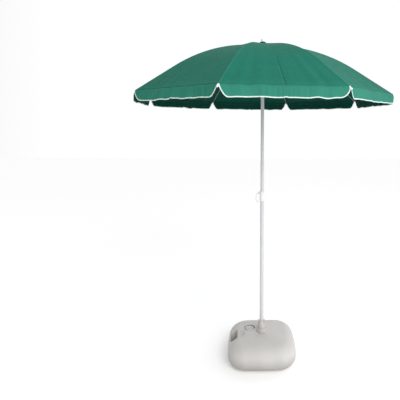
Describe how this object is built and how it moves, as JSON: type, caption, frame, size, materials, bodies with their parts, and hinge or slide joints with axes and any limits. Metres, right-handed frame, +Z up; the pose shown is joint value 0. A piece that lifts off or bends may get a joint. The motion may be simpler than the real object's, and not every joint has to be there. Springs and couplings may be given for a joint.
{
  "type": "patio umbrella with base",
  "caption": "Folding patio umbrella with a flounced cloth canopy on steel ribs, a height-adjustable two-part pole and a hollow plastic base to fill for ballast.",
  "frame": {"origin": "on the floor under the pole axis", "axes": "+Z up along the pole, -Y towards the front of the umbrella, +X to its right seen from the front"},
  "size_m": [1.562, 1.562, 2.005],
  "materials": {
    "base_plastic": "matte",
    "nut_plastic": "satin",
    "white_plastic": "satin",
    "tip_plastic": "satin",
    "foot_plastic": "matte",
    "seal_rubber": "matte",
    "pole_paint": "satin",
    "stud_steel": "satin",
    "wire_steel": "satin",
    "rib_steel": "satin",
    "insert_brass": "satin",
    "canopy_cloth": "matte"
  },
  "bodies": {
    "base": {"base_tank": "base_plastic", "socket_sleeve": "base_plastic"},
    "clamp_nut": {"clamp_nut": "nut_plastic"},
    "filler_cap": {"filler_cap": "base_plastic", "filler_seal": "seal_rubber"},
    "lower_pole": {"lower_pole": "pole_paint", "pole_foot": "foot_plastic", "lock_collar": "white_plastic", "lock_insert": "insert_brass"},
    "lock_screw": {"lock_hook": "white_plastic", "lock_stud": "stud_steel"},
    "upper_pole": {"upper_pole": "pole_paint", "pole_bush": "white_plastic", "crown": "white_plastic", "crown_ring": "wire_steel", "top_washer": "white_plastic", "finial": "white_plastic"},
    "catch": {"catch_spring": "wire_steel"},
    "runner": {"runner": "white_plastic", "runner_ring": "wire_steel"},
    "rib_1": {"rib_1": "rib_steel", "rib_clip_1": "wire_steel", "rib_tip_1": "tip_plastic", "canopy_1": "canopy_cloth"},
    "stretcher_1": {"stretcher_1": "rib_steel"},
    "rib_2": {"rib_2": "rib_steel", "rib_clip_2": "wire_steel", "rib_tip_2": "tip_plastic", "canopy_2": "canopy_cloth"},
    "stretcher_2": {"stretcher_2": "rib_steel"},
    "rib_3": {"rib_3": "rib_steel", "rib_clip_3": "wire_steel", "rib_tip_3": "tip_plastic", "canopy_3": "canopy_cloth"},
    "stretcher_3": {"stretcher_3": "rib_steel"},
    "rib_4": {"rib_4": "rib_steel", "rib_clip_4": "wire_steel", "rib_tip_4": "tip_plastic", "canopy_4": "canopy_cloth"},
    "stretcher_4": {"stretcher_4": "rib_steel"},
    "rib_5": {"rib_5": "rib_steel", "rib_clip_5": "wire_steel", "rib_tip_5": "tip_plastic", "canopy_5": "canopy_cloth"},
    "stretcher_5": {"stretcher_5": "rib_steel"},
    "rib_6": {"rib_6": "rib_steel", "rib_clip_6": "wire_steel", "rib_tip_6": "tip_plastic", "canopy_6": "canopy_cloth"},
    "stretcher_6": {"stretcher_6": "rib_steel"},
    "rib_7": {"rib_7": "rib_steel", "rib_clip_7": "wire_steel", "rib_tip_7": "tip_plastic", "canopy_7": "canopy_cloth"},
    "stretcher_7": {"stretcher_7": "rib_steel"},
    "rib_8": {"rib_8": "rib_steel", "rib_clip_8": "wire_steel", "rib_tip_8": "tip_plastic", "canopy_8": "canopy_cloth"},
    "stretcher_8": {"stretcher_8": "rib_steel"}
  },
  "joints": [
    {"name": "clamp_nut_turn", "type": "hinge", "parent": "base", "child": "clamp_nut", "pos_m": [0, 0, 0.158], "axis": [0, 0, 1], "range_deg": [0, 360]},
    {"name": "filler_cap_turn", "type": "hinge", "parent": "base", "child": "filler_cap", "pos_m": [-0.07756, 0.04332, 0.135], "axis": [0, 0, 1], "range_deg": [0, 450]},
    {"name": "mast_turn", "type": "hinge", "parent": "base", "child": "lower_pole", "pos_m": [0, 0, 0.1], "axis": [0, 0, 1], "continuous": true},
    {"name": "lock_screw_turn", "type": "hinge", "parent": "lower_pole", "child": "lock_screw", "pos_m": [-0.02, 0, 1.021], "axis": [1, 0, 0], "range_deg": [0, 270]},
    {"name": "height_slide", "type": "slide", "parent": "lower_pole", "child": "upper_pole", "axis": [0, 0, 1], "range_m": [-0.22, 0.1]},
    {"name": "catch_press", "type": "slide", "parent": "upper_pole", "child": "catch", "axis": [0, 1, 0], "range_m": [-0.0038, 0], "stiffness_N_per_m": 800},
    {"name": "runner_slide", "type": "slide", "parent": "upper_pole", "child": "runner", "axis": [0, 0, 1], "range_m": [-0.34968, 0], "deforming": ["catch_spring"]},
    {"name": "rib_1_fold", "type": "hinge", "parent": "upper_pole", "child": "rib_1", "pos_m": [-0.00395, -0.0155, 1.968], "axis": [0.969, -0.247, 0], "range_deg": [0, 59.05], "deforming": ["canopy_1"]},
    {"name": "stretcher_1_fold", "type": "hinge", "parent": "rib_1", "child": "stretcher_1", "pos_m": [-0.07614, -0.29872, 1.90417], "axis": [0.969, -0.247, 0], "range_deg": [-96.57, 0]},
    {"name": "rib_2_fold", "type": "hinge", "parent": "upper_pole", "child": "rib_2", "pos_m": [0.00817, -0.01376, 1.968], "axis": [0.8599, 0.5105, 0], "range_deg": [0, 59.05], "deforming": ["canopy_2"]},
    {"name": "stretcher_2_fold", "type": "hinge", "parent": "rib_2", "child": "stretcher_2", "pos_m": [0.15739, -0.26507, 1.90417], "axis": [0.8599, 0.5105, 0], "range_deg": [-96.57, 0]},
    {"name": "rib_3_fold", "type": "hinge", "parent": "upper_pole", "child": "rib_3", "pos_m": [0.0155, -0.00395, 1.968], "axis": [0.247, 0.969, 0], "range_deg": [0, 59.05], "deforming": ["canopy_3"]},
    {"name": "stretcher_3_fold", "type": "hinge", "parent": "rib_3", "child": "stretcher_3", "pos_m": [0.29872, -0.07614, 1.90417], "axis": [0.247, 0.969, 0], "range_deg": [-96.57, 0]},
    {"name": "rib_4_fold", "type": "hinge", "parent": "upper_pole", "child": "rib_4", "pos_m": [0.01376, 0.00817, 1.968], "axis": [-0.5105, 0.8599, 0], "range_deg": [0, 59.05], "deforming": ["canopy_4"]},
    {"name": "stretcher_4_fold", "type": "hinge", "parent": "rib_4", "child": "stretcher_4", "pos_m": [0.26507, 0.15739, 1.90417], "axis": [-0.5105, 0.8599, 0], "range_deg": [-96.57, 0]},
    {"name": "rib_5_fold", "type": "hinge", "parent": "upper_pole", "child": "rib_5", "pos_m": [0.00395, 0.0155, 1.968], "axis": [-0.969, 0.247, 0], "range_deg": [0, 59.05], "deforming": ["canopy_5"]},
    {"name": "stretcher_5_fold", "type": "hinge", "parent": "rib_5", "child": "stretcher_5", "pos_m": [0.07614, 0.29872, 1.90417], "axis": [-0.969, 0.247, 0], "range_deg": [-96.57, 0]},
    {"name": "rib_6_fold", "type": "hinge", "parent": "upper_pole", "child": "rib_6", "pos_m": [-0.00817, 0.01376, 1.968], "axis": [-0.8599, -0.5105, 0], "range_deg": [0, 59.05], "deforming": ["canopy_6"]},
    {"name": "stretcher_6_fold", "type": "hinge", "parent": "rib_6", "child": "stretcher_6", "pos_m": [-0.15739, 0.26507, 1.90417], "axis": [-0.8599, -0.5105, 0], "range_deg": [-96.57, 0]},
    {"name": "rib_7_fold", "type": "hinge", "parent": "upper_pole", "child": "rib_7", "pos_m": [-0.0155, 0.00395, 1.968], "axis": [-0.247, -0.969, 0], "range_deg": [0, 59.05], "deforming": ["canopy_7"]},
    {"name": "stretcher_7_fold", "type": "hinge", "parent": "rib_7", "child": "stretcher_7", "pos_m": [-0.29872, 0.07614, 1.90417], "axis": [-0.247, -0.969, 0], "range_deg": [-96.57, 0]},
    {"name": "rib_8_fold", "type": "hinge", "parent": "upper_pole", "child": "rib_8", "pos_m": [-0.01376, -0.00817, 1.968], "axis": [0.5105, -0.8599, 0], "range_deg": [0, 59.05], "deforming": ["canopy_8"]},
    {"name": "stretcher_8_fold", "type": "hinge", "parent": "rib_8", "child": "stretcher_8", "pos_m": [-0.26507, -0.15739, 1.90417], "axis": [0.5105, -0.8599, 0], "range_deg": [-96.57, 0]}
  ],
  "couplings": [
    {"joint": "rib_1_fold", "follows": "runner_slide", "rad_per_m": -2.9449},
    {"joint": "stretcher_1_fold", "follows": "runner_slide", "rad_per_m": 4.8174},
    {"joint": "rib_2_fold", "follows": "runner_slide", "rad_per_m": -2.9449},
    {"joint": "stretcher_2_fold", "follows": "runner_slide", "rad_per_m": 4.8174},
    {"joint": "rib_3_fold", "follows": "runner_slide", "rad_per_m": -2.9449},
    {"joint": "stretcher_3_fold", "follows": "runner_slide", "rad_per_m": 4.8174},
    {"joint": "rib_4_fold", "follows": "runner_slide", "rad_per_m": -2.9449},
    {"joint": "stretcher_4_fold", "follows": "runner_slide", "rad_per_m": 4.8174},
    {"joint": "rib_5_fold", "follows": "runner_slide", "rad_per_m": -2.9449},
    {"joint": "stretcher_5_fold", "follows": "runner_slide", "rad_per_m": 4.8174},
    {"joint": "rib_6_fold", "follows": "runner_slide", "rad_per_m": -2.9449},
    {"joint": "stretcher_6_fold", "follows": "runner_slide", "rad_per_m": 4.8174},
    {"joint": "rib_7_fold", "follows": "runner_slide", "rad_per_m": -2.9449},
    {"joint": "stretcher_7_fold", "follows": "runner_slide", "rad_per_m": 4.8174},
    {"joint": "rib_8_fold", "follows": "runner_slide", "rad_per_m": -2.9449},
    {"joint": "stretcher_8_fold", "follows": "runner_slide", "rad_per_m": 4.8174}
  ]
}
